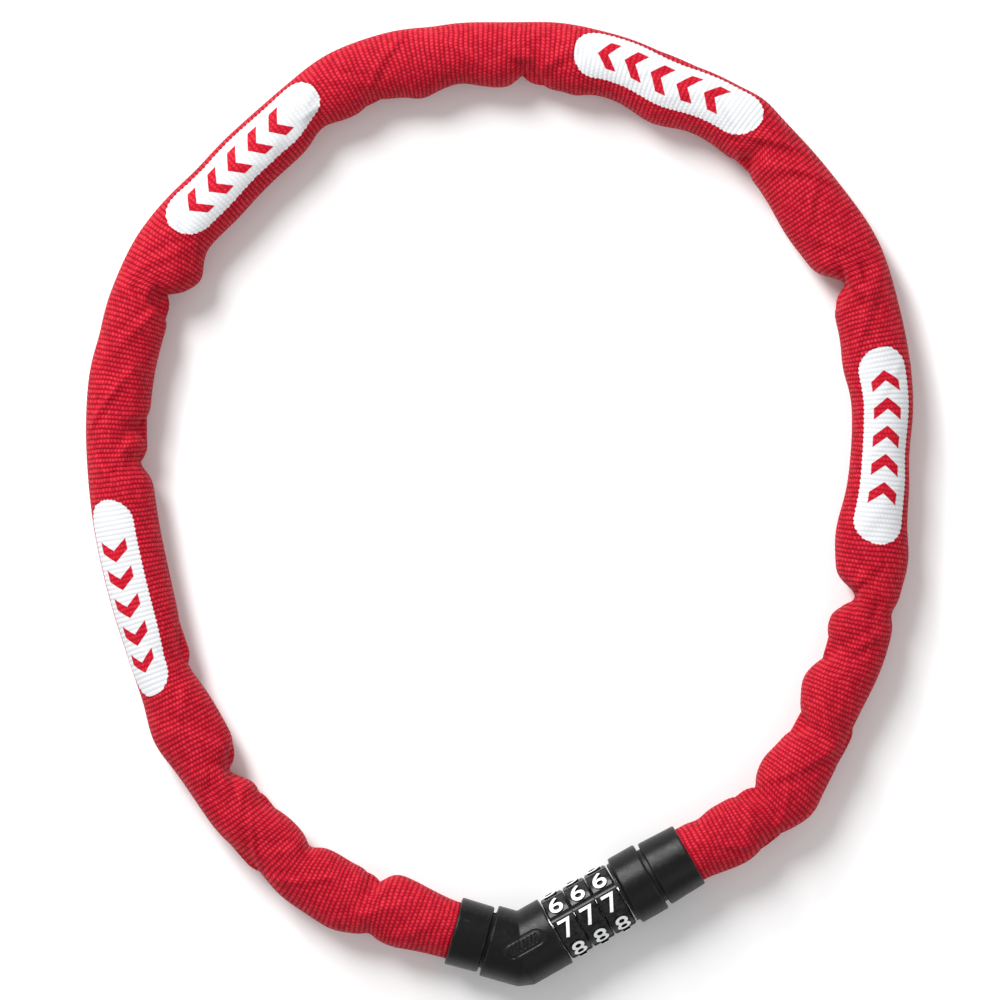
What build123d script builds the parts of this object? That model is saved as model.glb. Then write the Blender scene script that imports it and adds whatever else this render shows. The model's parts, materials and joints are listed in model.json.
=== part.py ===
"""Combination chain lock: a square-link chain in a woven sleeve, closed by a three-dial lock head.

Millimetres, +Z up, lying closed on the table at z = 0. The lock head's parts are drawn along their
own axis (local +X) and then placed, so the sleeve runs from the left cap round to the right cap.
"""
from build123d import *
import os

# ---- where the lock head lies ----
DIAL_STACK_CENTRE = (25.3, -116.9)
LOCK_ANGLE = 29.7            # lock axis from +X
TAIL_ANGLE = 164.3           # left cap axis from +X
LOCK_HEIGHT = 10.35          # lock axis above the table
BEND = -21.93                # crossing of both axes, along the lock axis

# ---- the chain's middle line between the two cap mouths, seen from above ----
LOOP_POINTS = (
    (-31.5, -116), (-51, -109.5), (-80, -79), (-98.5, -39.5), (-107.5, 0), (-108, 38), (-92, 76.5),
    (-63, 105.5), (-44, 119.5), (-22.5, 127), (-4.5, 128), (22.5, 126.5), (64.5, 110.5), (94, 78.5),
    (108.5, 37.5), (107.5, -3), (101.5, -42), (84, -79), (68, -93.5),
)
CHAIN_HEIGHT = 8.5

# ---- chain ----
LINKS = 44
LINKS_PER_BODY = 4
LINK_STOCK = 4.0             # square bar
LINK_INNER_LENGTH = 17.0
LINK_INNER_WIDTH = 6.8
LINK_EDGE = 0.6
PIN_TO_LINK = 6.1            # anchor pin to the middle of the end link

# ---- sleeve ----
SLEEVE_HALF_WIDTH = 9.8
SLEEVE_HALF_HEIGHT = 8.4
SLEEVE_END_RADIUS = 8.4      # inside a cap
SLEEVE_WALL = 0.6
SLEEVE_SPREAD = 16.0         # run over which the sleeve opens out beyond a cap
DROP_RUN = 45.0              # run over which it comes down from the lock axis
SLEEVE_GAP = 1.2             # between two sleeve lengths, at a bend
SLEEVE_SECTIONS = 5
INNER_OVERRUN = 1.0

# ---- lock head shells ----
SHELL_RADIUS = 10.35
SHELL_BORE = 8.4
SHELL_WALL = 1.5
SHELL_FILLET = 0.5
FACE_FILLET = 0.3
COLLAR_START, COLLAR_END = 11.9, 20.5
SPIGOT_START, SPIGOT_RADIUS = 10.9, 9.1
CAP_BORE, CAP_SEAT = 8.8, 3.0
LEFT_CAP_RADII = (9.6, 9.85)     # at the lock end and at the mouth
RIGHT_CAP_RADII = (9.85, 9.4)
RIGHT_CAP_START, RIGHT_CAP_END = 21.6, 33.1
LEFT_CAP_START, LEFT_CAP_END = 10.7, 20.3
ELBOW_TAIL_END, ELBOW_HEAD_END = 9.7, -11.0
ELBOW_RECESS_RADIUS, ELBOW_RECESS_DEPTH = 7.2, 1.6
CORNER_TRIM = 1.0            # taken off the outside of the elbow's corner
CORNER_ROUND = 10.8          # radius of the trimmed corner

# ---- oval panel on the elbow ----
PANEL_LENGTH, PANEL_WIDTH = 12.4, 4.6
PANEL_RIM, PANEL_DEPTH = 0.5, 0.3
PANEL_AT = (-20.1, 1.9)      # along and across the lock axis
PANEL_RIBS, PANEL_RIB_PITCH, PANEL_RIB_WIDTH, PANEL_RIB_TILT = 7, 1.25, 0.5, 20

# ---- metal inside the lock head ----
CORE_RADIUS = 8.3
CORE_CLEARANCE = 0.1
FORK_RADIUS = 7.1
FORK_TIP = 0.8               # fork end back from the cap mouth
SLOT_WIDTH = 5.4
SLOT_RUN = 6.8               # slot bottom beyond the anchor pin
ANCHOR_RADIUS = 1.9
RIGHT_PIN_AT, LEFT_PIN_AT = 29.5, 16.8
PIN_CLEARANCE = 0.02
CROSS_PIN_RADIUS, CROSS_PIN_HALF = 1.0, 7.9
TUBE_PIN_AT, BOLT_PIN_AT = 17.0, -17.5

# ---- bolt and core tube ----
BOLT_RADIUS, BOLT_ROOT, BOLT_TIP, BOLT_NOSE = 2.5, -24.0, 13.5, 0.8
LUG_THICK, LUG_WIDTH, LUG_REACH = 1.6, 1.6, 4.8
TUBE_BORE, TUBE_RADIUS, TUBE_END = 2.58, 3.6, 21.0
FLANGE_RADIUS, FLANGE_START, FLANGE_END = 6.6, -12.1, -10.8
LUG_SLOT_WIDTH, LUG_SLOT_REACH, LUG_SLOT_END = 2.0, 5.1, 9.0

# ---- dials ----
DIALS = 3
DIAL_PITCH, DIAL_WIDTH, DIAL_RADIUS = 7.1, 6.8, 9.5
DIAL_BORE = 6.3
DIAL_EDGE = 0.4
PLACES = 8
GRIP_RADIUS, GRIP_DEPTH = 1.6, 0.4   # hollow across the dial between two numerals
DISC_WIDTH, DISC_RADIUS, DISC_BORE = 6.5, 6.2, 3.67
GATE_WIDTH, GATE_REACH, TURNING_RECESS = 2.2, 5.0, 2.4
SPLINE_WIDTH, SPLINE_REACH, SPLINE_CLEARANCE = 1.0, 6.8, 0.1
NOTCH_RADIUS = 0.45
SPRING_WIDTH, SPRING_THICK, SPRING_FLOOR = 1.4, 0.3, 3.12
SPRING_START, SPRING_END, SPRING_CREST = -10.2, 12.5, 0.45
SPRING_SLOT_SIDE = 0.1

HEAD = Plane(
    origin=(*DIAL_STACK_CENTRE, LOCK_HEIGHT),
    x_dir=Vector(1, 0, 0).rotate(Axis.Z, LOCK_ANGLE),
    z_dir=(0, 0, 1),
)
BEND_POINT = HEAD.from_local_coords(Vector(BEND, 0, 0))
TAIL = Plane(
    origin=BEND_POINT,
    x_dir=Vector(1, 0, 0).rotate(Axis.Z, TAIL_ANGLE),
    z_dir=(0, 0, 1),
)
# plane halving the elbow, facing the left cap
MITRE = Plane(origin=BEND_POINT, x_dir=(0, 0, 1), z_dir=TAIL.x_dir - HEAD.x_dir)

nodes = {}


def in_head(shape):
    return HEAD.location * shape


def in_tail(shape):
    return TAIL.location * shape


def rod(radius, start, end):
    return Pos((start + end) / 2, 0, 0) * Rot(0, 90, 0) * Cylinder(radius, end - start)


def pipe(outer, inner, start, end):
    return rod(outer, start, end) - rod(inner, start, end)


def block(start, end, width, bottom, top):
    box = Box(end - start, width, top - bottom)
    return Pos((start + end) / 2, 0, (bottom + top) / 2) * box


def upright_pin(radius, half_length, at):
    return Pos(at, 0, 0) * Cylinder(radius, 2 * half_length)


def level_pin(radius, half_length, at):
    return Pos(at, 0, 0) * Rot(90, 0, 0) * Cylinder(radius, 2 * half_length)


def around(shape, count, first=0.0):
    return [Rot(first + i * 360 / count, 0, 0) * shape for i in range(count)]


def soften(shape, radius, *stations):
    """Round the outermost circular edges that stand at these stations along the axis."""
    edges = []
    for station in stations:
        rims = [e for e in shape.edges() if abs(e.center().X - station) < 0.01]
        edges.append(max(rims, key=lambda e: e.length))
    return fillet(edges, radius)


# ---- elbow ----
def elbow_solid(radius, tail_end, head_end):
    overlap = 2 * radius
    tail = split(in_tail(rod(radius, -overlap, tail_end)), bisect_by=MITRE, keep=Keep.TOP)
    head = split(in_head(rod(radius, BEND - overlap, head_end)), bisect_by=MITRE, keep=Keep.BOTTOM)
    return tail + head


def elbow_corner():
    """What lies outside a rod laid across the elbow's outer corner."""
    outward = -(TAIL.x_dir + HEAD.x_dir).normalized()
    corner_reach = SHELL_RADIUS / abs(outward.cross(HEAD.x_dir).Z)
    across = Plane(
        origin=BEND_POINT + outward * (corner_reach - CORNER_TRIM - CORNER_ROUND),
        x_dir=MITRE.z_dir,
        z_dir=(0, 0, 1),
    )
    size = 3 * SHELL_RADIUS
    outer_half = Pos(0, size / 2, 0) * Box(size, size, size)
    return across.location * (outer_half - rod(CORNER_ROUND, -size, size))


def oval_panel():
    """Shallow oval with a rim groove and slanting grip ribs, following the round surface."""
    outline = SlotOverall(PANEL_LENGTH, PANEL_WIDTH)
    inside = SlotOverall(PANEL_LENGTH - 2 * PANEL_RIM, PANEL_WIDTH - 2 * PANEL_RIM)
    field = SlotOverall(PANEL_LENGTH - 4 * PANEL_RIM, PANEL_WIDTH - 4 * PANEL_RIM)
    ribs = Sketch()
    for i in range(PANEL_RIBS):
        offset = (i - (PANEL_RIBS - 1) / 2) * PANEL_RIB_PITCH
        ribs += Pos(offset, 0) * Rot(0, 0, -PANEL_RIB_TILT) * Rectangle(PANEL_RIB_WIDTH, PANEL_WIDTH)
    sketch = (outline - inside) + (field & ribs)
    cut = extrude(Pos(*PANEL_AT) * sketch, SHELL_RADIUS + 1)
    return in_head(cut) - elbow_solid(SHELL_RADIUS - PANEL_DEPTH, ELBOW_TAIL_END, ELBOW_HEAD_END + 1)


def elbow_cover():
    shell = elbow_solid(SHELL_RADIUS, ELBOW_TAIL_END, ELBOW_HEAD_END)
    shell -= elbow_corner()
    shell -= oval_panel()
    inner_end = ELBOW_HEAD_END - ELBOW_RECESS_DEPTH - SHELL_WALL
    shell -= elbow_solid(SHELL_BORE, ELBOW_TAIL_END + 1, inner_end)
    recess = rod(ELBOW_RECESS_RADIUS, ELBOW_HEAD_END - ELBOW_RECESS_DEPTH, ELBOW_HEAD_END + 1)
    bolt_hole = rod(BOLT_RADIUS + PIN_CLEARANCE, inner_end - 1, ELBOW_HEAD_END)
    return shell - in_head(recess + bolt_hole)


def elbow_core():
    head_end = ELBOW_HEAD_END - ELBOW_RECESS_DEPTH - SHELL_WALL - CORE_CLEARANCE
    seat_end = LEFT_CAP_START + CAP_SEAT
    fork_end = LEFT_CAP_END - FORK_TIP
    core = elbow_solid(CORE_RADIUS, seat_end, head_end)
    core += in_tail(rod(FORK_RADIUS, ELBOW_TAIL_END, fork_end))
    link_slot = block(LEFT_PIN_AT - SLOT_RUN, fork_end + 1, 3 * CORE_RADIUS, -SLOT_WIDTH / 2, SLOT_WIDTH / 2)
    core -= in_tail(link_slot)
    core -= in_tail(upright_pin(ANCHOR_RADIUS + PIN_CLEARANCE, CORE_RADIUS, LEFT_PIN_AT))
    core -= in_head(rod(BOLT_RADIUS + PIN_CLEARANCE, BOLT_ROOT - PIN_CLEARANCE, head_end + 1))
    core -= in_head(upright_pin(CROSS_PIN_RADIUS + PIN_CLEARANCE, 2 * CORE_RADIUS, BOLT_PIN_AT))
    return core


def lock_bolt():
    bolt = rod(BOLT_RADIUS, BOLT_ROOT, BOLT_TIP)
    nose = max(bolt.edges().filter_by(GeomType.CIRCLE), key=lambda e: e.center().X)
    bolt = chamfer(nose, BOLT_NOSE)
    for i in range(DIALS):
        at = (i - (DIALS - 1) / 2) * DIAL_PITCH
        bolt += block(at - LUG_THICK / 2, at + LUG_THICK / 2, LUG_WIDTH, 0, LUG_REACH)
    bolt -= upright_pin(CROSS_PIN_RADIUS + PIN_CLEARANCE, 2 * BOLT_RADIUS, BOLT_PIN_AT)
    return in_head(bolt)


def cap(start, end, radii):
    """Ferrule: a close seat on the metal core, then a wider mouth for the sleeve."""
    shell = Pos((start + end) / 2, 0, 0) * Rot(0, 90, 0) * Cone(*radii, end - start)
    shell = soften(shell, SHELL_FILLET, start, end)
    shell -= rod(SHELL_BORE, start - 1, start + CAP_SEAT)
    return shell - rod(CAP_BORE, start + CAP_SEAT, end + 1)


# ---- lock body ----
def core_tube():
    tube = rod(TUBE_RADIUS, FLANGE_START, TUBE_END) + rod(FLANGE_RADIUS, FLANGE_START, FLANGE_END)
    tube -= rod(TUBE_BORE, FLANGE_START - 1, TUBE_END + 1)
    tube -= block(FLANGE_START - 1, LUG_SLOT_END, LUG_SLOT_WIDTH, 0, LUG_SLOT_REACH)
    spring_slot_width = SPRING_WIDTH + 2 * SPRING_SLOT_SIDE
    tube -= block(SPRING_START - SPRING_SLOT_SIDE, SPRING_END + SPRING_SLOT_SIDE, spring_slot_width,
                  -TUBE_RADIUS - 1, -SPRING_FLOOR + 0.02)
    tube -= upright_pin(CROSS_PIN_RADIUS + PIN_CLEARANCE, 2 * TUBE_RADIUS, TUBE_PIN_AT)
    return in_head(tube)


def click_spring():
    """Leaf with one crest under each dial, lying in the tube's lower groove."""
    leaf = block(SPRING_START, SPRING_END, SPRING_WIDTH, -SPRING_FLOOR - SPRING_THICK, -SPRING_FLOOR)
    for i in range(DIALS):
        at = (i - (DIALS - 1) / 2) * DIAL_PITCH
        leaf += Pos(at, 0, -SPRING_FLOOR) * level_pin(SPRING_CREST, SPRING_WIDTH / 2, 0)
    upper = block(SPRING_START, SPRING_END, SPRING_WIDTH, -SPRING_FLOOR, 0)
    return in_head(leaf - upper)


def collar():
    shell = rod(SHELL_RADIUS, COLLAR_START, COLLAR_END)
    shell = soften(shell, SHELL_FILLET, COLLAR_START, COLLAR_END)
    shell += rod(SPIGOT_RADIUS, SPIGOT_START, COLLAR_START + 1)
    shell -= rod(SHELL_BORE, COLLAR_START + SHELL_WALL, COLLAR_END + 1)
    shell -= rod(TUBE_RADIUS + PIN_CLEARANCE, SPIGOT_START - 1, COLLAR_END)
    return in_head(shell)


def body_core():
    start = COLLAR_START + SHELL_WALL + CORE_CLEARANCE
    fork_end = RIGHT_CAP_END - FORK_TIP
    slot_start = RIGHT_PIN_AT - SLOT_RUN
    core = rod(CORE_RADIUS, start, RIGHT_CAP_START + CAP_SEAT)
    core += rod(FORK_RADIUS, start, fork_end)
    core -= block(slot_start, fork_end + 1, SLOT_WIDTH, -2 * CORE_RADIUS, 2 * CORE_RADIUS)
    core -= rod(TUBE_RADIUS + PIN_CLEARANCE, start - 1, TUBE_END + PIN_CLEARANCE)
    core -= upright_pin(CROSS_PIN_RADIUS + PIN_CLEARANCE, 2 * CORE_RADIUS, TUBE_PIN_AT)
    core -= level_pin(ANCHOR_RADIUS + PIN_CLEARANCE, 2 * CORE_RADIUS, RIGHT_PIN_AT)
    return in_head(core)


# ---- dials ----
def dial_ring(at):
    start, end = at - DIAL_WIDTH / 2, at + DIAL_WIDTH / 2
    ring = chamfer(rod(DIAL_RADIUS, start, end).edges().filter_by(GeomType.CIRCLE), DIAL_EDGE)
    grip = rod(GRIP_RADIUS, start - 1, end + 1)
    ring -= around(Pos(0, 0, DIAL_RADIUS + GRIP_RADIUS - GRIP_DEPTH) * grip, PLACES, 180 / PLACES)
    ring -= rod(DIAL_BORE, start - 1, end + 1)
    key_way = block(start - 1, end + 1, SPLINE_WIDTH + 2 * SPLINE_CLEARANCE, 0,
                    SPLINE_REACH + SPLINE_CLEARANCE)
    ring -= around(key_way, PLACES)
    return in_head(ring)


def code_disc(at):
    start, end = at - DISC_WIDTH / 2, at + DISC_WIDTH / 2
    disc = rod(DISC_RADIUS, start, end)
    disc += around(block(start, end, SPLINE_WIDTH, 0, SPLINE_REACH), PLACES)
    disc -= rod(DISC_BORE, start - 1, end + 1)
    disc -= block(start - 1, end + 1, GATE_WIDTH, 0, GATE_REACH)
    disc -= rod(GATE_REACH, at - TURNING_RECESS / 2, at + TURNING_RECESS / 2)
    disc -= around(Pos(0, 0, DISC_BORE) * rod(NOTCH_RADIUS, start - 1, end + 1), PLACES)
    return in_head(disc)


# ---- chain and sleeve ----
route_start = TAIL.from_local_coords(Vector(LEFT_PIN_AT, 0, 0))
route_end = HEAD.from_local_coords(Vector(RIGHT_PIN_AT, 0, 0))
left_mouth = TAIL.from_local_coords(Vector(LEFT_CAP_END, 0, 0))
right_mouth = HEAD.from_local_coords(Vector(RIGHT_CAP_END, 0, 0))
route = Spline(
    (route_start.X, route_start.Y),
    (left_mouth.X, left_mouth.Y),
    *LOOP_POINTS,
    (right_mouth.X, right_mouth.Y),
    (route_end.X, route_end.Y),
    tangents=((TAIL.x_dir.X, TAIL.x_dir.Y), (-HEAD.x_dir.X, -HEAD.x_dir.Y)),
)
link_pitch = (route.length - 2 * PIN_TO_LINK) / (LINKS - 1)
left_mouth_run = LEFT_CAP_END - LEFT_PIN_AT
right_mouth_run = route.length - (RIGHT_CAP_END - RIGHT_PIN_AT)


def away_from_caps(run, reach):
    """0 inside a cap, rising smoothly to 1 at this reach beyond its mouth."""
    beyond = min(run - left_mouth_run, right_mouth_run - run)
    t = min(max(beyond / reach, 0), 1)
    return t * t * (3 - 2 * t)


def on_route(run):
    at = route.position_at(run, position_mode=PositionMode.LENGTH)
    height = LOCK_HEIGHT + (CHAIN_HEIGHT - LOCK_HEIGHT) * away_from_caps(run, DROP_RUN)
    return Vector(at.X, at.Y, height)


def hinge_run(body):
    """Distance along the route of the bend that starts this chain body."""
    if body == 0:
        return 0.0
    return PIN_TO_LINK + link_pitch * (body * LINKS_PER_BODY - 0.5)


def chain_link():
    overall_length = LINK_INNER_LENGTH + 2 * LINK_STOCK
    overall_width = LINK_INNER_WIDTH + 2 * LINK_STOCK
    outline = SlotOverall(overall_length, overall_width)
    outline -= SlotOverall(LINK_INNER_LENGTH, LINK_INNER_WIDTH)
    link = Pos(0, 0, -LINK_STOCK / 2) * extrude(outline, LINK_STOCK)
    return chamfer(link.faces().filter_by(Axis.Z).edges(), LINK_EDGE)


def place_link(link, index):
    middle = PIN_TO_LINK + index * link_pitch
    before = on_route(middle - PIN_TO_LINK)
    after = on_route(middle + PIN_TO_LINK)
    frame = Plane(origin=on_route(middle), x_dir=after - before, z_dir=(0, 0, 1))
    upright = 90 * (index % 2)
    return frame.location * Rot(upright, 0, 0) * link


def sleeve_section(run, inset):
    opened = away_from_caps(run, SLEEVE_SPREAD)
    half_width = SLEEVE_END_RADIUS + (SLEEVE_HALF_WIDTH - SLEEVE_END_RADIUS) * opened - inset
    half_height = SLEEVE_END_RADIUS + (SLEEVE_HALF_HEIGHT - SLEEVE_END_RADIUS) * opened - inset
    along = route.tangent_at(run, position_mode=PositionMode.LENGTH)
    across = along.cross(Vector(0, 0, 1))
    frame = Plane(origin=on_route(run), x_dir=across, z_dir=along)
    return frame * Ellipse(half_width, half_height)


def sleeve_length(body):
    bodies = LINKS // LINKS_PER_BODY
    start = hinge_run(body) + SLEEVE_GAP / 2
    end = hinge_run(body + 1) - SLEEVE_GAP / 2
    if body == bodies - 1:
        end = route.length - SLEEVE_GAP / 2
    step = (end - start) / (SLEEVE_SECTIONS - 1)
    runs = [start + i * step for i in range(SLEEVE_SECTIONS)]
    if body == 0:
        runs.insert(1, left_mouth_run)
    if body == bodies - 1:
        runs.insert(SLEEVE_SECTIONS - 1, right_mouth_run)
    outer = loft([sleeve_section(run, 0) for run in runs])
    runs[0] -= INNER_OVERRUN if body else 0
    inner = loft([sleeve_section(run, SLEEVE_WALL) for run in runs])
    return outer - inner


nodes["elbow_cover"] = elbow_cover()
nodes["elbow_core"] = elbow_core()
nodes["lock_bolt"] = lock_bolt()
nodes["bolt_pin"] = in_head(upright_pin(CROSS_PIN_RADIUS, CROSS_PIN_HALF, BOLT_PIN_AT))
nodes["left_anchor_pin"] = in_tail(upright_pin(ANCHOR_RADIUS, FORK_RADIUS - 0.6, LEFT_PIN_AT))
nodes["left_cap"] = in_tail(cap(LEFT_CAP_START, LEFT_CAP_END, LEFT_CAP_RADII))
nodes["core_tube"] = core_tube()
nodes["click_spring"] = click_spring()
nodes["tube_pin"] = in_head(upright_pin(CROSS_PIN_RADIUS, CROSS_PIN_HALF, TUBE_PIN_AT))
nodes["collar"] = collar()
nodes["body_core"] = body_core()
nodes["right_cap"] = in_head(cap(RIGHT_CAP_START, RIGHT_CAP_END, RIGHT_CAP_RADII))
nodes["right_anchor_pin"] = in_head(level_pin(ANCHOR_RADIUS, FORK_RADIUS - 0.6, RIGHT_PIN_AT))
for i in range(DIALS):
    dial_at = (i - (DIALS - 1) / 2) * DIAL_PITCH
    nodes[f"dial_ring_{i + 1}"] = dial_ring(dial_at)
    nodes[f"code_disc_{i + 1}"] = code_disc(dial_at)
link = chain_link()
for body in range(LINKS // LINKS_PER_BODY):
    first = body * LINKS_PER_BODY
    links = [place_link(link, first + i) for i in range(LINKS_PER_BODY)]
    nodes[f"chain_links_{body + 1}"] = Compound(children=links)
    nodes[f"sleeve_{body + 1}"] = sleeve_length(body)

os.makedirs("parts", exist_ok=True)
for name, shape in nodes.items():
    export_step(shape, f"parts/{name}.step")
    print(name, round(shape.volume, 1), len(shape.solids()))
print("route", round(route.length, 2), "pitch", round(link_pitch, 3))
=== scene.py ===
"""Looks of the chain lock: woven sleeve, moulded shells, printed dials, and the studio round them."""

import bmesh
import bpy
import json
import math
import numpy as np
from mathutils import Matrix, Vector


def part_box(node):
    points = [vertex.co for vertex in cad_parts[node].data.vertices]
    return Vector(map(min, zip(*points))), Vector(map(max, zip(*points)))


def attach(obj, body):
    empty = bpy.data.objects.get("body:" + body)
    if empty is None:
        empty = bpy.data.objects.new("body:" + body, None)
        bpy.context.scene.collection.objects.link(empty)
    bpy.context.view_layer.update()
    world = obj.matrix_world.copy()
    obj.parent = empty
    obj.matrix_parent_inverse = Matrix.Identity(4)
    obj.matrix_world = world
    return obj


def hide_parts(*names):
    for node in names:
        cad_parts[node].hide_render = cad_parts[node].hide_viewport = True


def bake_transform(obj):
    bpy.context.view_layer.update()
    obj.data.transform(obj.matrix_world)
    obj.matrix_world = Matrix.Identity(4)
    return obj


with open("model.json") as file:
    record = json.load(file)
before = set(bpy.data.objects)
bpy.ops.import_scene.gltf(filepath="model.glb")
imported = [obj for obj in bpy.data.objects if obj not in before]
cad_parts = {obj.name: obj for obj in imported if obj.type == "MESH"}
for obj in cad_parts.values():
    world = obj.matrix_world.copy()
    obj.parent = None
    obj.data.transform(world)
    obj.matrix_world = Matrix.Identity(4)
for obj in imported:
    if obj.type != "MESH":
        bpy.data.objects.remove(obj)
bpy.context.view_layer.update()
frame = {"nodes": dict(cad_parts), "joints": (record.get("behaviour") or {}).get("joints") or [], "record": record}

MM = 0.001

# ---- sleeve, all in mm ----
HALF_WIDTH = 9.2              # where nothing pinches it
HALF_HEIGHT = 8.1
END_RADIUS = 8.25             # inside a cap
END_SPREAD = 14.0             # run over which it opens out beyond a cap
TUCK = 5.0                    # how far it goes into a cap
SQUARENESS = 2.3              # 2 is an ellipse
AROUND = 57.2                 # its flat width, twice
RIB = 1.35                    # from one rib of the weave to the next
DOT = 1.08                    # from one thread to the next, along a rib
RIB_RELIEF = 0.08
RINGS_PER_RIB = 4
COLUMNS = 72
WRINKLES = 90                 # slanting ridges on top and underneath
WRINKLE_HEIGHT = 0.62

# Folds on the inside and the outside of the loop: how far along from the left cap, how deep
# (a negative depth is a bulge), how far it spreads, and how much it leans along the sleeve.
INNER_FOLDS = (
    (19, -0.9, 6, 0), (25, 3.4, 3.2, 0.3), (41, -0.9, 6, 0), (49, 1.4, 3, -0.3), (58, -0.5, 5, 0),
    (71, 2.2, 6, 0.3), (83, 5.8, 5, -0.35), (118, 2.3, 10, 0.4), (147, -0.2, 8, 0),
    (178, 3.0, 4, 0.4), (188, 2.9, 3.6, -0.4), (227.5, 6.0, 3.6, 0.35), (239, -3.2, 6, 0),
    (262, -1.1, 12, 0), (299, 2.4, 6, -0.4), (317, 1.4, 4, 0.4), (333, -2.1, 6, 0),
    (346, 1.0, 6, 0.3), (365.5, 4.6, 4.0, -0.4), (380, -0.9, 4, 0), (406, -3.0, 10, 0),
    (438.5, 2.9, 3, 0.3), (464, -2.2, 13, 0), (485.5, 6.2, 4.6, -0.4), (510, -1.3, 8, 0),
    (560, -1.9, 10, 0), (578, 6.2, 4, 0.35), (595, 2.6, 4, -0.3), (606, -2.2, 6, 0),
    (619, 3.0, 3.6, 0.3), (634, -1.3, 6, 0), (646, 3.6, 4.2, -0.3), (666, 2.0, 3, 0.3),
)
OUTER_FOLDS = (
    (16, -0.9, 6, 0), (23, 0.9, 2.2, 0.3), (33, -1.3, 6, 0), (58, 2.2, 9, 0.3), (100, -2.3, 9, 0),
    (128, 0.2, 6, 0.4), (160, -0.4, 16, 0), (213, 0.7, 6, -0.3), (240, -0.6, 10, 0),
    (264, 0.8, 9, 0.3), (310, -0.9, 12, 0), (338, 0.6, 6, 0.3), (374, -0.8, 10, 0),
    (406, 1.3, 10, 0.3), (431, -1.1, 6, 0), (478, -1.5, 14, 0), (535, 0.8, 8, -0.3),
    (566, -1.5, 8, 0), (581, 1.2, 3, 0.4), (613, 2.0, 14, 0.3), (638, -1.2, 4.5, 0),
    (650, 2.0, 4.5, -0.3), (668, -0.3, 4, 0),
)

# Printed patches: middle along the sleeve, and how far outward from its top.
PATCHES = ((140, 4.4), (275.5, 1.4), (406, 2.2), (534, 1.0))
PATCH_HALF_LENGTH = 28.0
PATCH_HALF_WIDTH = 7.3
PATCH_CORNER = 7.25

# ---- chain inside the sleeve ----
LINK_HALF_LENGTH = 12.5
LINK_HALF_THICK = 2.0
CHAIN_CLEARANCE = 0.75
DRAPE_POWER = 1.35            # how tightly the cloth wraps the chain's cross shape

# ---- cloth simulation ----
SIM_SCALE = 20.0              # the solver's smallest distances suit a larger sleeve
SIM_RING = 2.6
SIM_COLUMNS = 40
SIM_FRAMES = 14
FABRIC_SLACK = 1.06           # cloth length over chain length
SIM_CAP = 1.5                 # most that a point may move, mm

# ---- dials ----
PLACES = 8
TOP_NUMERAL = 7
NUMERAL_HEIGHT = 5.45
NUMERAL_WIDTH = 4.05
NUMERAL_TOP = 10.05           # radius of the printed face
NUMERAL_FOOT = 9.2
NUMERAL_BOLD = 0.010          # added to each side of a stroke, as a share of the type size
BEND_STEP = 0.45

# ---- camera ----
CAMERA_HEIGHT = 1.28
CAMERA_Y = 0.000714
LENS = 160.0


# ======== node helpers ========

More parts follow.
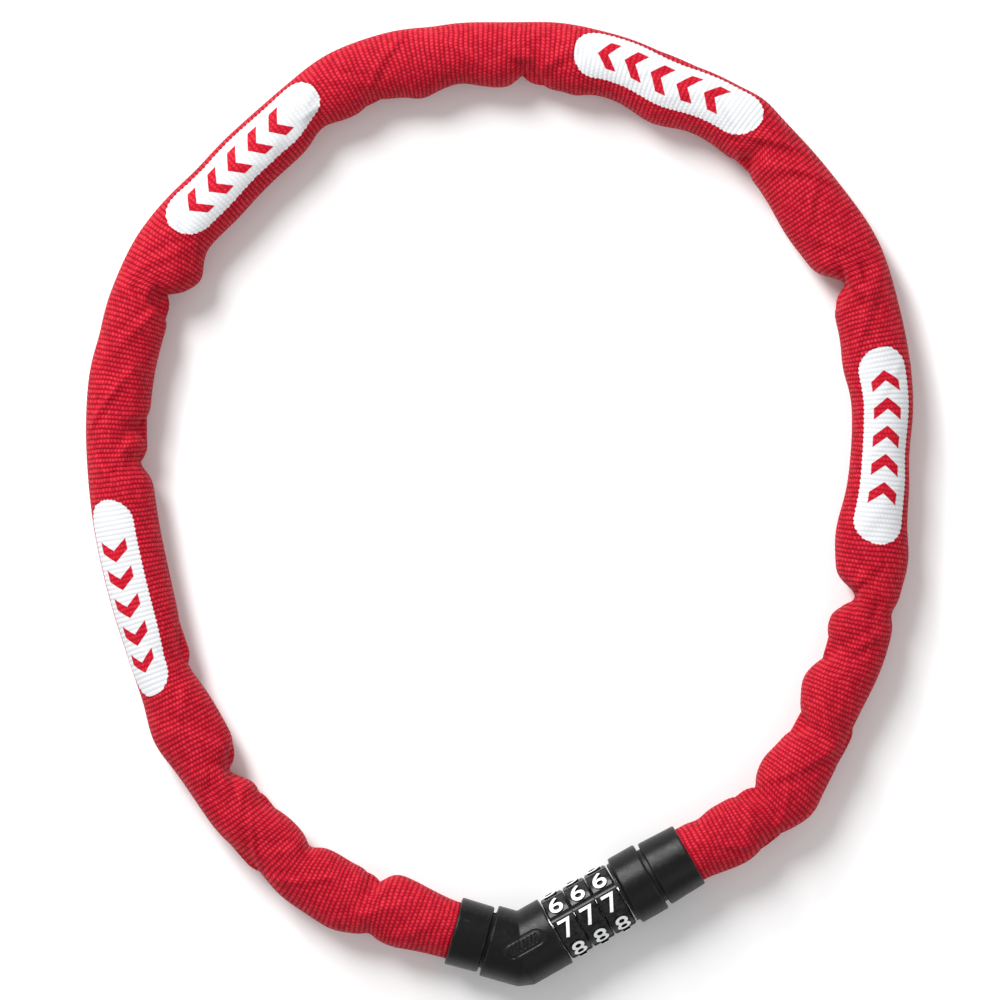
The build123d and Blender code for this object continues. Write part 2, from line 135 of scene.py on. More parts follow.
class Shader:
    """A material's node tree, built one call at a time."""

    def __init__(self, name):
        self.material = bpy.data.materials.new(name)
        self.material.use_nodes = True
        self.tree = self.material.node_tree
        self.surface = self.tree.nodes["Principled BSDF"]

    def put(self, value, socket):
        if isinstance(value, bpy.types.NodeSocket):
            self.tree.links.new(value, socket)
        else:
            socket.default_value = value

    def math(self, operation, *values):
        node = self.tree.nodes.new("ShaderNodeMath")
        node.operation = operation
        for value, socket in zip(values, node.inputs):
            self.put(value, socket)
        return node.outputs[0]

    def uv(self, layer):
        node = self.tree.nodes.new("ShaderNodeUVMap")
        node.uv_map = layer
        split = self.tree.nodes.new("ShaderNodeSeparateXYZ")
        self.tree.links.new(node.outputs[0], split.inputs[0])
        return split.outputs[0], split.outputs[1]

    def place(self):
        """The point's own coordinates, in metres."""
        return self.tree.nodes.new("ShaderNodeTexCoord").outputs["Object"]

    def join(self, x, y, z=0.0):
        node = self.tree.nodes.new("ShaderNodeCombineXYZ")
        for value, socket in zip((x, y, z), node.inputs):
            self.put(value, socket)
        return node.outputs[0]

    def noise(self, at, scale, detail=2.0, roughness=0.5):
        node = self.tree.nodes.new("ShaderNodeTexNoise")
        self.put(at, node.inputs["Vector"])
        node.inputs["Scale"].default_value = scale
        node.inputs["Detail"].default_value = detail
        node.inputs["Roughness"].default_value = roughness
        return node.outputs[0]

    def white_noise(self, at):
        node = self.tree.nodes.new("ShaderNodeTexWhiteNoise")
        self.put(at, node.inputs["Vector"])
        return node.outputs["Value"]

    def ramp(self, value, *stops):
        node = self.tree.nodes.new("ShaderNodeValToRGB")
        elements = node.color_ramp.elements
        while len(elements) < len(stops):
            elements.new(0.5)
        for element, (position, colour) in zip(elements, stops):
            element.position = position
            element.color = (*colour, 1)
        self.put(value, node.inputs[0])
        return node.outputs[0]

    def spread(self, value, from_low, from_high, to_low, to_high, smooth=False):
        node = self.tree.nodes.new("ShaderNodeMapRange")
        if smooth:
            node.interpolation_type = "SMOOTHSTEP"
        for given, socket in zip((value, from_low, from_high, to_low, to_high), node.inputs):
            self.put(given, socket)
        return node.outputs[0]

    def mix(self, share, a, b):
        node = self.tree.nodes.new("ShaderNodeMix")
        node.data_type = "RGBA"
        self.put(share, node.inputs[0])
        self.put(a, node.inputs[6])
        self.put(b, node.inputs[7])
        return node.outputs[2]

    def bump(self, height, distance, strength):
        node = self.tree.nodes.new("ShaderNodeBump")
        node.inputs["Strength"].default_value = strength
        node.inputs["Distance"].default_value = distance
        self.put(height, node.inputs["Height"])
        return node.outputs[0]

    def hump(self, across, power):
        """A rounded thread: 1 in its middle, 0 at half a unit to either side."""
        away = self.math("ABSOLUTE", self.math("MULTIPLY", across, 2.0))
        return self.math("SUBTRACT", 1.0, self.math("POWER", away, power))

    def edges(self, radius):
        """1 along sharp outer edges, for wear and for a painted edge highlight."""
        node = self.tree.nodes.new("ShaderNodeNewGeometry")
        return self.spread(node.outputs["Pointiness"], 0.5, 0.5 + radius, 0.0, 1.0)

    def set(self, **sockets):
        for name, value in sockets.items():
            self.put(value, self.surface.inputs[name.replace("_", " ")])
        return self.material


# ======== materials ========

def woven_red():
    s = Shader("woven_sleeve")
    along, across = s.uv("weave")
    wander = s.noise(s.join(along, across), 0.11, 2.0)
    along_bent = s.math("ADD", along, s.math("MULTIPLY", s.math("SUBTRACT", wander, 0.5), 1.2))
    row = s.math("DIVIDE", along_bent, RIB)
    row_number = s.math("FLOOR", row)
    in_row = s.math("SUBTRACT", s.math("FRACT", row), 0.5)
    stagger = s.math("MULTIPLY", s.math("MODULO", row_number, 2.0), 0.5)
    thread = s.math("ADD", s.math("DIVIDE", across, DOT), stagger)
    thread_number = s.math("FLOOR", thread)
    in_thread = s.math("SUBTRACT", s.math("FRACT", thread), 0.5)
    rib = s.hump(in_row, 2.2)
    yarn = s.hump(in_thread, 2.4)
    height = s.math("MULTIPLY", rib, s.math("ADD", 0.35, s.math("MULTIPLY", yarn, 0.65)))
    tint = s.white_noise(s.join(row_number, thread_number))
    fade = s.noise(s.join(along, across), 0.05, 3.0)
    # The colour follows the thread relief: darker red in the gaps between threads is painted shade and pinkish red
    # on the thread tops is painted highlight; the per-thread tint and the slow noise are the yarn's own random
    # tone.
    relief_shade_and_tint = s.math("ADD", height, s.math("MULTIPLY", s.math("SUBTRACT", tint, 0.5), 0.35))
    relief_shade_and_tint = s.math("ADD", relief_shade_and_tint, s.math("MULTIPLY", s.math("SUBTRACT", fade, 0.5), 0.35))
    red_with_painted_shade = s.ramp(
        relief_shade_and_tint,
        (0.0, (0.20, 0.001, 0.010)),
        (0.42, (0.37, 0.002, 0.014)),
        (0.75, (0.48, 0.004, 0.020)),
        (1.0, (0.58, 0.020, 0.038)),
    )
    printed, bars = patch_masks(s, height)
    # The white print is greyer between the threads and whiter on their tops: painted shade and painted highlight.
    ink_white_with_painted_shade = s.mix(s.math("MULTIPLY", height, 0.8), (0.58, 0.59, 0.61, 1), (0.72, 0.73, 0.75, 1))
    ink = s.mix(bars, ink_white_with_painted_shade, s.mix(0.35, red_with_painted_shade, (0.55, 0.004, 0.02, 1)))
    colour = s.mix(printed, red_with_painted_shade, ink)
    fibre = s.noise(s.join(s.math("MULTIPLY", along, 2.0), s.math("MULTIPLY", across, 9.0)), 1.0, 2.0)
    relief = s.math("ADD", height, s.math("MULTIPLY", fibre, 0.15))
    relief = s.math("MULTIPLY", relief, s.spread(printed, 0.0, 1.0, 1.0, 0.3))
    return s.set(
        Base_Color=colour,
        Roughness=s.spread(relief_shade_and_tint, 0.0, 1.0, 0.85, 0.55),
        Specular_IOR_Level=0.15,
        Sheen_Weight=0.03,
        Sheen_Roughness=0.4,
        Sheen_Tint=(1.0, 0.45, 0.5, 1),
        Normal=s.bump(relief, 0.22 * MM, 0.9),
    )


def patch_masks(s, height):
    """Where the white patch is printed, and where its red bars are."""
    x, y = s.uv("patch")
    flat_x, flat_y = s.math("ABSOLUTE", x), s.math("ABSOLUTE", y)
    over_x = s.math("SUBTRACT", flat_x, PATCH_HALF_LENGTH - PATCH_CORNER)
    over_y = s.math("SUBTRACT", flat_y, PATCH_HALF_WIDTH - PATCH_CORNER)
    out_x, out_y = s.math("MAXIMUM", over_x, 0.0), s.math("MAXIMUM", over_y, 0.0)
    outside = s.math("SQRT", s.math("ADD", s.math("POWER", out_x, 2.0), s.math("POWER", out_y, 2.0)))
    inside = s.math("MINIMUM", s.math("MAXIMUM", over_x, over_y), 0.0)
    distance = s.math("SUBTRACT", s.math("ADD", outside, inside), PATCH_CORNER)
    distance = s.math("SUBTRACT", distance, s.math("MULTIPLY", s.math("SUBTRACT", height, 0.5), 0.35))
    printed = s.spread(distance, -0.12, 0.12, 1.0, 0.0, smooth=True)
    slant = s.math("SUBTRACT", x, s.math("MULTIPLY", flat_y, 0.75))
    stripe = s.math("ABSOLUTE", s.math("SUBTRACT", s.math("FRACT", s.math("DIVIDE", slant, 8.0)), 0.5))
    bar = s.spread(stripe, 0.19, 0.22, 1.0, 0.0, smooth=True)
    keep_y = s.spread(flat_y, 4.0, 4.3, 1.0, 0.0, smooth=True)
    keep_x = s.spread(s.math("ABSOLUTE", s.math("ADD", slant, 1.6)), 19.6, 19.9, 1.0, 0.0, smooth=True)
    return printed, s.math("MULTIPLY", bar, s.math("MULTIPLY", keep_x, keep_y))


def moulded(name, colour, gloss, grain):
    """Black moulded plastic: fine spark-eroded texture, handling marks, paler edges that are partly wear and
    partly a painted edge highlight.
    """
    s = Shader(name)
    at = s.place()
    fine = s.noise(at, 5200.0, 2.0, 0.6)
    cloud = s.noise(at, 160.0, 4.0, 0.6)
    smear = s.noise(at, 600.0, 3.0, 0.7)
    # Paler grey on sharp edges: partly wear, partly a painted edge highlight.
    wear_and_edge_highlight = s.math("MULTIPLY", s.edges(0.05), s.spread(smear, 0.35, 0.65, 0.0, 0.22))
    shade = s.mix(cloud, tuple(c * 0.75 for c in colour) + (1,), tuple(c * 1.3 for c in colour) + (1,))
    base = s.mix(wear_and_edge_highlight, shade, (0.075, 0.075, 0.078, 1))
    handled = s.spread(smear, 0.3, 0.7, gloss - 0.06, gloss + 0.08)
    rough = s.math("ADD", handled, s.math("MULTIPLY", wear_and_edge_highlight, -0.08))
    relief = s.math("ADD", fine, s.math("MULTIPLY", smear, 0.35))
    return s.set(
        Base_Color=base,
        Roughness=rough,
        Specular_IOR_Level=0.20,
        Normal=s.bump(relief, grain * MM, 0.8),
    )


def numeral_white():
    s = Shader("numeral_white")
    at = s.place()
    dirt = s.noise(at, 900.0, 3.0, 0.7)
    colour = s.mix(s.spread(dirt, 0.55, 0.8, 0.0, 1.0), (0.86, 0.87, 0.88, 1), (0.55, 0.56, 0.58, 1))
    return s.set(
        Base_Color=colour,
        Roughness=s.spread(dirt, 0.3, 0.7, 0.38, 0.55),
        Normal=s.bump(s.noise(at, 4000.0), 0.03 * MM, 0.5),
    )


def metal(name, colour, gloss, streak=0.0):
    """Plated or bare metal with fine scratches and slightly uneven gloss."""
    s = Shader(name)
    at = s.place()
    cloud = s.noise(at, 300.0, 4.0, 0.6)
    scratch = s.noise(at, 2600.0, 2.0, 0.8)
    shade = s.mix(cloud, tuple(c * 0.7 for c in colour) + (1,), (*colour, 1))
    uneven = s.spread(cloud, 0.3, 0.7, gloss - 0.05, gloss + 0.1)
    rough = s.math("ADD", uneven, s.math("MULTIPLY", scratch, streak))
    return s.set(Base_Color=shade, Metallic=1.0, Roughness=rough, Normal=s.bump(scratch, 0.02 * MM, 0.6))


SHELL_BLACK = moulded("moulded_black", (0.0045, 0.0045, 0.005), 0.32, 0.045)
DIAL_BLACK = moulded("dial_black", (0.0040, 0.0040, 0.0045), 0.28, 0.012)
RED = woven_red()
WHITE = numeral_white()
NODE_MATERIALS = {
    "moulded_black": SHELL_BLACK,
    "dial_black": DIAL_BLACK,
    # Near-black colour for the castings inside the lock: painted shade in the gaps between the dials and caps,
    # where they show.
    "zinc_casting": metal("zinc_casting", (0.035, 0.035, 0.037), 0.42, 0.1),
    "hardened_steel": metal("hardened_steel", (0.30, 0.30, 0.30), 0.24, 0.05),
    "pin_steel": metal("pin_steel", (0.66, 0.66, 0.67), 0.26, 0.05),
    "brass": metal("brass", (0.78, 0.57, 0.25), 0.28, 0.05),
    "chain_steel": metal("chain_steel", (0.50, 0.51, 0.53), 0.30, 0.1),
}
for part in frame["record"]["subparts"]:
    finish = NODE_MATERIALS.get(part["material_slot"])
    if finish:
        node = frame["nodes"][part["node"]]
        node.data.materials.clear()
        node.data.materials.append(finish)


SOFTENED = ("elbow_cover", "left_cap", "collar", "right_cap")
SHELL_VOXEL = 0.2 * MM
for name in SOFTENED:
    node = frame["nodes"][name]
    remesh = node.modifiers.new("even_mesh", "REMESH")
    remesh.mode = "VOXEL"
    remesh.voxel_size = SHELL_VOXEL
    remesh.use_smooth_shade = True
    smooth = node.modifiers.new("soft_edges", "SMOOTH")
    smooth.factor = 0.5
    smooth.iterations = 6


# ======== middle line ========

def middle(name):
    low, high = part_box(name)
    return np.array((low + high) / 2) / MM


def link_middles(name):
    """The middle and half height of each separate solid of a node, in mm."""
    mesh = frame["nodes"][name].data
    points = np.empty(len(mesh.vertices) * 3)
    mesh.vertices.foreach_get("co", points)
    points = np.round(points.reshape(-1, 3) / MM, 3)
    welded, index = np.unique(points, axis=0, return_inverse=True)
    ends = np.empty(len(mesh.edges) * 2, int)
    mesh.edges.foreach_get("vertices", ends)
    ends = index.reshape(-1)[ends].reshape(-1, 2)
    label = np.arange(len(welded))
    while True:
        lower = label.copy()
        np.minimum.at(lower, ends[:, 0], label[ends[:, 1]])
        np.minimum.at(lower, ends[:, 1], label[ends[:, 0]])
        lower = lower[lower]
        if (lower == label).all():
            break
        label = lower
    groups = [welded[label == k] for k in np.unique(label)]
    return [((g.min(0) + g.max(0)) / 2, np.ptp(g[:, 2]) / 2) for g in groups]


class Line:
    """The chain's middle line through its links: place and direction at a run, in mm from the left cap."""

    def __init__(self, points):
        points = np.array([points[0] * 1.5 - points[1] * 0.5, *points, points[-1] * 1.5 - points[-2] * 0.5])
        at = np.concatenate([[0], np.cumsum(np.linalg.norm(np.diff(points, axis=0), axis=1))])
        slope = np.gradient(points, at, axis=0)
        fine = np.arange(0, at[-1], 0.25)
        k = np.clip(np.searchsorted(at, fine, side="right") - 1, 0, len(at) - 2)
        step = (at[k + 1] - at[k])[:, None]
        t = ((fine - at[k])[:, None]) / step
        self.points = (
            points[k] * (2 * t**3 - 3 * t**2 + 1)
            + slope[k] * step * (t**3 - 2 * t**2 + t)
            + points[k + 1] * (3 * t**2 - 2 * t**3)
            + slope[k + 1] * step * (t**3 - t**2)
        )
        steps = np.linalg.norm(np.diff(self.points, axis=0), axis=1)
        self.run = np.concatenate([[0], np.cumsum(steps)])

    def start_at(self, run):
        self.run = self.run - run

    def at(self, run):
        return np.stack([np.interp(run, self.run, self.points[:, i]) for i in range(3)], axis=-1)

    def along(self, run):
        ahead = self.at(np.asarray(run) + 1.0) - self.at(np.asarray(run) - 1.0)
        return ahead / np.linalg.norm(ahead, axis=-1, keepdims=True)

    def nearest(self, point):
        flat = np.linalg.norm(self.points[:, :2] - np.asarray(point)[:2], axis=1)
        return self.run[flat.argmin()]


def mouth_run(line, cap, anchor, sign):
    """Where the line leaves a cap."""
    run = line.nearest(middle(anchor))
    place, along = line.at(run), line.along(run + sign * 2) * sign
    mesh = frame["nodes"][cap].data
    reach = max(float((np.array(v.co) / MM - place) @ along) for v in mesh.vertices)
    return run + sign * reach


chain_nodes = sorted((n for n in frame["nodes"] if n.startswith("chain_links_")), key=lambda n: int(n[12:]))
links = [(middle("left_anchor_pin"), 0)]
for name in chain_nodes:
    left = link_middles(name)
    while left:
        left.sort(key=lambda link: np.linalg.norm(link[0] - links[-1][0]))
        links.append(left.pop(0))
line = Line([at for at, tall in links] + [middle("right_anchor_pin")])
line.start_at(mouth_run(line, "left_cap", "left_anchor_pin", 1))
length = mouth_run(line, "right_cap", "right_anchor_pin", -1)
link_half_width = max(tall for at, tall in links)
flat_links = [line.nearest(at) for at, tall in links[1:] if tall < link_half_width / 2]
upright_links = [line.nearest(at) for at, tall in links[1:] if tall > link_half_width / 2]


# ======== sleeve ========

def bell(x):
    return np.exp(-x * x)


def opened(run):
    """0 inside a cap, 1 clear of it."""
    t = np.clip(np.minimum(run, length - run) / END_SPREAD, 0, 1)
    return t * t * (3 - 2 * t)


def edge(run, folds):
    """Half width on one side."""
    free = HALF_WIDTH - sum(depth * bell((run - at) / spread) for at, depth, spread, lean in folds)
    return END_RADIUS + (free - END_RADIUS) * opened(run)


def creases(run, reach, folds):
    """How far the top sinks and rises beside the folds of one edge; reach is the distance from it."""
    total = np.zeros(np.broadcast(run, reach).shape)
    for at, depth, spread, lean in folds:
        if depth < 0.5:
            continue
        x = (run - at - lean * reach) / (spread * (0.62 + 0.035 * reach))
        fade = np.clip(1 - reach / (8.0 + 1.5 * depth), 0, 1) ** 1.2
        total += 0.36 * depth * (bell(x) - 0.45 * bell((np.abs(x) - 1.8) / 0.9)) * fade
    return total


def wrinkles(run, across):
    """Soft slanting ridges where the loose cloth bunches up."""
    total = np.zeros(np.broadcast(run, across).shape)
    for k in range(WRINKLES):
        a, b, c, d = ((k + 1) * step % 1.0 for step in (0.61803, 0.75488, 0.56984, 0.81917))
        at, middle_across = a * length, (b - 0.5) * 13
        lean = (0.5 + 1.1 * c) * (1 if k % 2 else -1)
        spread, reach = 1.5 + 1.8 * d, 3.5 + 5.5 * b
        x = (run - at - lean * (across - middle_across)) / spread
        ridge = bell(x) - 0.6 * bell(x - 1.7)
        total += WRINKLE_HEIGHT * (0.5 + c) * ridge * bell((across - middle_across) / reach)
    printed = sum(bell(((run - at) / PATCH_HALF_LENGTH) ** 2) for at, offset in PATCHES)
    return total * (1 - 0.75 * printed)


def sleeve_points(runs, columns):
    """The sleeve's shape made from the given folds: rings of points, in mm."""
    angle = -math.pi / 2 + 2 * math.pi * np.arange(columns) / columns
    run = runs[:, None]
    outer, inner = edge(run, OUTER_FOLDS), edge(run, INNER_FOLDS)
    power = 2 / (2 + (SQUARENESS - 2) * opened(run))
    side = np.sign(np.cos(angle)) * np.abs(np.cos(angle)) ** power
    lift = np.sign(np.sin(angle)) * np.abs(np.sin(angle)) ** power
    across = (outer - inner) / 2 + (outer + inner) / 2 * side
    tall = END_RADIUS + (HALF_HEIGHT - END_RADIUS) * opened(run)
    dent = creases(run, across + inner, INNER_FOLDS) + creases(run, outer - across, OUTER_FOLDS)
    dent = dent * np.abs(lift) * opened(run)
    flat, up = sides(runs)
    ridges = wrinkles(run, across + 40 * (lift < 0)) * np.abs(lift) * opened(run)
    height = lift * (tall - dent + ridges)
    return line.at(runs)[:, None] + across[..., None] * flat + height[..., None] * up


def chain_reach(run, middles):
    """Half width of the links that lie one way, at a run."""
    straight = LINK_HALF_LENGTH - link_half_width
    beyond = np.clip(np.abs(run[:, None] - np.array(middles)) - straight, 0, link_half_width)
    return np.maximum(np.sqrt(link_half_width**2 - beyond**2).max(axis=1), LINK_HALF_THICK)[:, None]


def clear_chain(runs, points):
    """Pushes the sleeve off the chain where a fold reaches it."""
    place, flat, up = line.at(runs)[:, None], *sides(runs)
    across = ((points - place) * flat).sum(axis=-1)
    height = ((points - place) * up).sum(axis=-1)
    wide = chain_reach(runs, flat_links) + CHAIN_CLEARANCE
    tall = chain_reach(runs, upright_links) + CHAIN_CLEARANCE
    thick = LINK_HALF_THICK + CHAIN_CLEARANCE
    grow = np.ones(across.shape)
    for half_across, half_high, power in ((wide, tall, DRAPE_POWER), (wide, thick, 5.0), (thick, tall, 5.0)):
        share = (np.abs(across) / half_across) ** power + (np.abs(height) / half_high) ** power
        grow = np.maximum(grow, np.maximum(share, 1e-4) ** (-1 / power))
    grow = grow - 1.0
    return points + (grow * across)[..., None] * flat + (grow * height)[..., None] * up


def sides(runs):
    """Outward and upward directions beside each ring."""
    along = line.along(runs)
    flat = np.stack([-along[:, 1], along[:, 0], np.zeros(len(runs))], axis=-1)
    flat /= np.linalg.norm(flat, axis=1, keepdims=True)
    up = np.cross(flat, along)
    up *= np.sign(up[:, 2:3])
    return flat[:, None], up[:, None]


def grid_faces(rings, columns):
    """Quads between rings of points."""
    i, j = np.meshgrid(np.arange(rings - 1), np.arange(columns), indexing="ij")
    i, j = i.ravel(), j.ravel()
    after = (j + 1) % columns
    here, ahead = i * columns, (i + 1) * columns
    return np.stack([here + j, here + after, ahead + after, ahead + j], axis=1)


def new_mesh(name, points, faces):
    mesh = bpy.data.meshes.new(name)
    mesh.from_pydata(points.reshape(-1, 3).tolist(), [], faces.tolist())
    mesh.update()
    made = bpy.data.objects.new(name, mesh)
    bpy.context.scene.collection.objects.link(made)
    return made


def cubic_weights(where, count, around):
    """A matrix that samples a row of values at these places with smooth curves."""
    weights = np.zeros((len(where), count))
    base = np.floor(where).astype(int)
    t = where - base
    parts = (
        -0.5 * t**3 + t**2 - 0.5 * t,
        1.5 * t**3 - 2.5 * t**2 + 1,
        -1.5 * t**3 + 2 * t**2 + 0.5 * t,
        0.5 * t**3 - 0.5 * t**2,
    )
    for offset, part in zip((-1, 0, 1, 2), parts):
        column = base + offset
        column = column % count if around else np.clip(column, 0, count - 1)
        np.add.at(weights, (np.arange(len(where)), column), part)
    return weights


def simulate(runs, columns):
    """Lets a coarse sleeve of slack cloth relax, free of gravity and contact; returns its movement in mm."""
    start = sleeve_points(runs, columns)
    sim = new_mesh("sleeve_sim", start * MM * SIM_SCALE, grid_faces(len(runs), columns))
    radius = AROUND / (2 * math.pi)
    angle = -math.pi / 2 + 2 * math.pi * np.arange(columns) / columns
    flat = np.stack(np.broadcast_arrays(
        runs[:, None] * FABRIC_SLACK, radius * np.cos(angle), radius * np.sin(angle)), axis=-1)
    sim.shape_key_add(name="Basis")
    straight = sim.shape_key_add(name="straight")
    straight.data.foreach_set("co", (flat * MM * SIM_SCALE).ravel())
    straight.value = 0.0
    pinned = sim.vertex_groups.new(name="pinned")
    ends = [i for i, run in enumerate(runs) if run < 0.5 or run > length - 0.5]
    pinned.add([i * columns + j for i in ends for j in range(columns)], 1.0, "REPLACE")
    cloth = sim.modifiers.new("cloth", "CLOTH")
    settings = cloth.settings
    settings.quality = 6
    settings.mass = 0.2
    settings.tension_stiffness = 12.0
    settings.compression_stiffness = 12.0
    settings.shear_stiffness = 6.0
    settings.bending_stiffness = 0.6
    settings.tension_damping = 20.0
    settings.compression_damping = 20.0
    settings.shear_damping = 20.0
    settings.air_damping = 6.0
    settings.effector_weights.gravity = 0.0
    settings.use_pressure = True
    settings.uniform_pressure_force = 0.6
    settings.vertex_group_mass = "pinned"
    settings.rest_shape_key = straight
    cloth.collision_settings.use_collision = False
    cloth.collision_settings.use_self_collision = False
    cloth.point_cache.frame_start = 1
    cloth.point_cache.frame_end = SIM_FRAMES
    scene = bpy.context.scene
    scene.frame_start, scene.frame_end = 1, SIM_FRAMES
    for number in range(1, SIM_FRAMES + 1):
        scene.frame_set(number)
    settled = sim.evaluated_get(bpy.context.evaluated_depsgraph_get())
    moved = np.empty(len(settled.data.vertices) * 3)
    settled.data.vertices.foreach_get("co", moved)
    moved = moved.reshape(start.shape) / (MM * SIM_SCALE) - start
    bpy.data.objects.remove(sim)
    scene.frame_set(1)
    far = np.linalg.norm(moved, axis=-1, keepdims=True)
    return moved * SIM_CAP * np.tanh(far / SIM_CAP) / np.maximum(far, 1e-9)


def sleeve_surface():
    """The finished sleeve: points, normals and weave coordinates, ring by ring."""
    count = round((length + 2 * TUCK) / RIB * RINGS_PER_RIB) + 1
    runs = -TUCK + np.arange(count) * RIB / RINGS_PER_RIB
    points = sleeve_points(runs, COLUMNS)
    coarse = np.linspace(runs[0], runs[-1], round((runs[-1] - runs[0]) / SIM_RING) + 1)
    moved = simulate(coarse, SIM_COLUMNS)
    where = (runs - coarse[0]) / (coarse[1] - coarse[0])
    ring_weights = cubic_weights(where, len(coarse), around=False)
    column_weights = cubic_weights(np.arange(COLUMNS) * SIM_COLUMNS / COLUMNS, SIM_COLUMNS, around=True)
    points += np.einsum("ri,cj,ijk->rck", ring_weights, column_weights, moved, optimize=True)
    points = clear_chain(runs, points)
    normals = grid_normals(points)
    ribs = np.cos(2 * math.pi * (runs / RIB - 0.5))[:, None, None]
    points = points + normals * ribs * RIB_RELIEF / 2
    points[..., 2] = np.maximum(points[..., 2], 0.15)
    around = np.linalg.norm(np.roll(points, -1, axis=1) - points, axis=-1)
    share = np.cumsum(around, axis=1) / around.sum(axis=1, keepdims=True)
    share = np.concatenate([np.zeros((count, 1)), share], axis=1)
    top = share[:, COLUMNS // 2][:, None]
    return runs, points, grid_normals(points), (top - share) * AROUND


def grid_normals(points):
    ahead = np.gradient(points, axis=0)
    beside = np.roll(points, -1, axis=1) - np.roll(points, 1, axis=1)
    normals = np.cross(beside, ahead)
    return normals / np.maximum(np.linalg.norm(normals, axis=-1, keepdims=True), 1e-12)


def patch_coordinates(face_run, weave):
    """Place on the printed patch nearest to each face, in mm."""
    patches = np.array(PATCHES)
    nearest = np.abs(face_run[:, None] - patches[:, 0]).argmin(axis=1)
    return weave - patches[nearest]


def sleeve_piece(name, first, last, surface):
    """One length of the sleeve, from ring to ring, with the whole sleeve's own normals."""
    runs, points, normals, across = surface
    ring = slice(first, last + 1)
    count = last + 1 - first
    faces = grid_faces(count, COLUMNS)
    made = new_mesh(name, points[ring] * MM, faces)
    mesh = made.data
    i = np.arange(count - 1).repeat(COLUMNS) + first
    j = np.tile(np.arange(COLUMNS), count - 1)
    corner_ring = np.stack([i, i, i + 1, i + 1], axis=1).ravel()
    corner_column = np.stack([j, j + 1, j + 1, j], axis=1).ravel()
    weave = np.stack([runs[corner_ring], across[corner_ring, corner_column]], axis=-1)
    patch = patch_coordinates(np.repeat(runs[i], 4), weave)
    for layer, values in (("weave", weave), ("patch", patch)):
        mesh.uv_layers.new(name=layer).data.foreach_set("uv", values.ravel())
    mesh.materials.append(RED)
    mesh.shade_smooth()
    mesh.normals_split_custom_set_from_vertices(normals[ring].reshape(-1, 3).tolist())
    return made


def flex(number):
    """Run of the chain bend that starts this body."""
    joint = next(j for j in frame["joints"] if j["name"] == f"flex_{number}")
    return line.nearest(np.array(joint["pos_m"]) / MM)


def make_sleeve():
    surface = sleeve_surface()
    runs = surface[0]
    bodies = len(chain_nodes)
    bends = [flex(k + 1) for k in range(bodies)]
    cuts = [0]
    for k in range(1, bodies):
        half_way = (max(bends[k - 1], 0) + bends[k]) / 2
        cuts.append(int(np.abs(runs - half_way).argmin()))
    cuts.append(len(runs) - 1)
    for k in range(bodies):
        piece = sleeve_piece(f"woven_sleeve_{k + 1}", cuts[k], cuts[k + 1], surface)
        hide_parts(f"sleeve_{k + 1}")
        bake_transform(piece)


make_sleeve()


# ======== numerals ========

slide = next(j for j in frame["joints"] if j["name"] == "bolt_slide")
LOCK_AXIS = -Vector(slide["axis"]).normalized()
UP = Vector((0, 0, 1))
LOCK_SIDE = UP.cross(LOCK_AXIS)


def thicken(flat, amount):
    """Moves the outline of a flat shape outward in its own plane."""
    outward = {}
    for edge in flat.edges:
        if len(edge.link_faces) != 1:
            continue
        a, b = edge.verts
        out = (b.co - a.co).cross(UP).normalized()
        if out.dot(edge.link_faces[0].calc_center_median() - (a.co + b.co) / 2) > 0:
            out = -out
        for v in edge.verts:
            outward.setdefault(v, []).append(out)
    for v, outs in outward.items():
        mean = sum(outs, Vector()) / len(outs)
        v.co += mean * amount / max(mean.length_squared, 0.4)


def numeral_outline(number):
    """A flat mesh of one numeral, centred, in mm."""
    text = bpy.data.curves.new("numeral", "FONT")
    text.body = str(number)
    text.size = 1.0
    text.resolution_u = 6
    text.align_x = "CENTER"
    shape = bpy.data.objects.new("numeral", text)
    bpy.context.scene.collection.objects.link(shape)
    bpy.context.view_layer.update()
    mesh = bpy.data.meshes.new_from_object(shape.evaluated_get(bpy.context.evaluated_depsgraph_get()))
    bpy.data.objects.remove(shape)
    made = bmesh.new()
    made.from_mesh(mesh)
    bpy.data.meshes.remove(mesh)
    bmesh.ops.remove_doubles(made, verts=made.verts, dist=1e-5)
    thicken(made, NUMERAL_BOLD)
    low = Vector(min(v.co[i] for v in made.verts) for i in range(3))
    high = Vector(max(v.co[i] for v in made.verts) for i in range(3))
    size = high - low
    wide = NUMERAL_WIDTH * (0.55 if number == 1 else 1.0)
    for v in made.verts:
        v.co.x = (v.co.x - (low.x + high.x) / 2) / size.x * wide
        v.co.y = (v.co.y - (low.y + high.y) / 2) / size.y * NUMERAL_HEIGHT
        v.co.z = 0
    bmesh.ops.dissolve_limit(made, angle_limit=0.01, verts=made.verts, edges=made.edges)
    for step in range(-8, 9):
        cut_at = Vector((0, step * BEND_STEP, 0))
        everything = made.verts[:] + made.edges[:] + made.faces[:]
        bmesh.ops.bisect_plane(made, geom=everything, plane_co=cut_at, plane_no=(0, 1, 0), dist=1e-4)
    bmesh.ops.triangulate(made, faces=made.faces)
    return made


def raise_numeral(flat, centre, turn):
    """Wraps a flat numeral round the dial and gives it its raised flanks, added to the dial's mesh."""
    top = flat.faces[:]
    for face in top:
        if face.normal.z < 0:
            face.normal_flip()
    extruded = bmesh.ops.extrude_face_region(flat, geom=top)
    foot = {v for v in extruded["geom"] if isinstance(v, bmesh.types.BMVert)}
    for v in flat.verts:
        radius = NUMERAL_FOOT if v not in foot else NUMERAL_TOP
        angle = turn + v.co.y / NUMERAL_TOP
        around = LOCK_SIDE * math.sin(angle) + UP * math.cos(angle)
        v.co = centre + (LOCK_AXIS * v.co.x + around * radius) * MM
    bmesh.ops.recalc_face_normals(flat, faces=flat.faces)


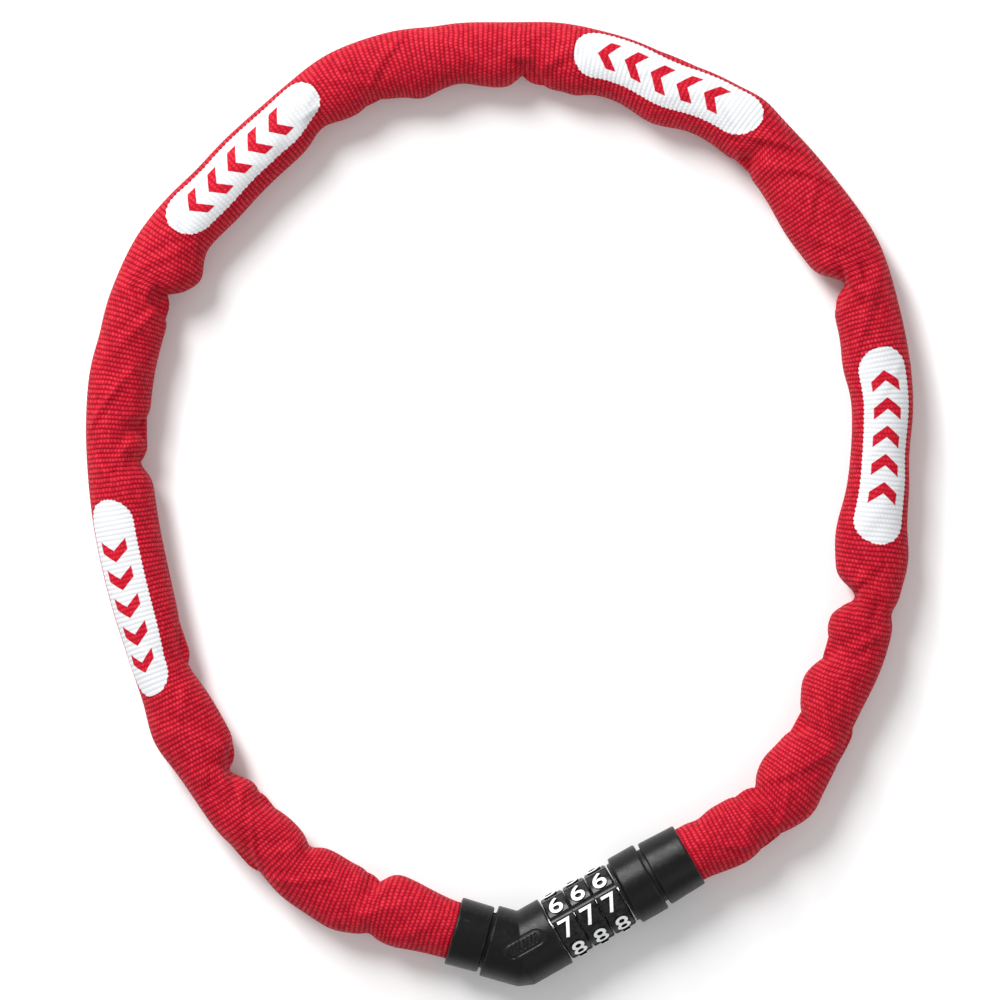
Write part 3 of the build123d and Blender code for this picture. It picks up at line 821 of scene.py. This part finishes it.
def numeral_ring(dial):
    node = f"dial_ring_{dial}"
    low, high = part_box(node)
    centre = (low + high) / 2
    whole = bmesh.new()
    for place in range(PLACES):
        number = (TOP_NUMERAL - place - 1) % PLACES + 1
        flat = numeral_outline(number)
        raise_numeral(flat, centre, place * 2 * math.pi / PLACES)
        part = bpy.data.meshes.new("part")
        flat.to_mesh(part)
        whole.from_mesh(part)
        bpy.data.meshes.remove(part)
        flat.free()
    mesh = bpy.data.meshes.new(f"dial_numerals_{dial}")
    for face in whole.faces:
        middle_out = face.calc_center_median() - centre
        middle_out -= LOCK_AXIS * middle_out.dot(LOCK_AXIS)
        on_top = middle_out.length > (NUMERAL_TOP - 0.1) * MM
        face.material_index = 0 if on_top else 1
    whole.to_mesh(mesh)
    whole.free()
    mesh.materials.append(WHITE)
    mesh.materials.append(DIAL_BLACK)
    made = bpy.data.objects.new(f"dial_numerals_{dial}", mesh)
    bpy.context.scene.collection.objects.link(made)
    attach(made, f"dial_{dial}")


for dial in (1, 2, 3):
    numeral_ring(dial)


# ======== studio ========

def floor():
    mesh = bpy.data.meshes.new("floor")
    reach = 3.0
    corners = [(-reach, -reach, 0), (reach, -reach, 0), (reach, reach, 0), (-reach, reach, 0)]
    mesh.from_pydata(corners, [], [(0, 1, 2, 3)])
    made = bpy.data.objects.new("floor", mesh)
    bpy.context.scene.collection.objects.link(made)
    s = Shader("floor_paper")
    mottle = s.noise(s.place(), 40.0, 3.0)
    paper = s.mix(mottle, (0.93, 0.93, 0.93, 1), (0.96, 0.96, 0.96, 1))
    mesh.materials.append(s.set(Base_Color=paper, Roughness=0.9, Specular_IOR_Level=0.1))


def soft_light(name, place, size, power):
    light = bpy.data.lights.new(name, "AREA")
    light.shape = "DISK"
    light.size = size
    light.energy = power
    made = bpy.data.objects.new(name, light)
    made.location = place
    made.rotation_mode = "QUATERNION"
    made.rotation_quaternion = (-Vector(place)).to_track_quat("-Z", "Y")
    bpy.context.scene.collection.objects.link(made)


def studio():
    floor()
    soft_light("key", (-0.75, 0.95, 1.3), 0.7, 24)
    soft_light("rim", (-0.65, 1.1, 0.75), 0.35, 12)
    soft_light("fill", (1.2, -0.8, 1.4), 1.2, 5)
    world = bpy.data.worlds.new("studio")
    world.use_nodes = True
    background = world.node_tree.nodes["Background"]
    background.inputs["Color"].default_value = (1, 1, 1, 1)
    background.inputs["Strength"].default_value = 0.5
    bpy.context.scene.world = world
    bpy.context.scene.view_settings.view_transform = "Standard"
    camera = bpy.data.objects.new("camera", bpy.data.cameras.new("camera"))
    camera.data.lens = LENS
    camera.data.sensor_width = 36.0
    camera.location = (0, CAMERA_Y, CAMERA_HEIGHT)
    bpy.context.scene.collection.objects.link(camera)
    bpy.context.scene.camera = camera


studio()
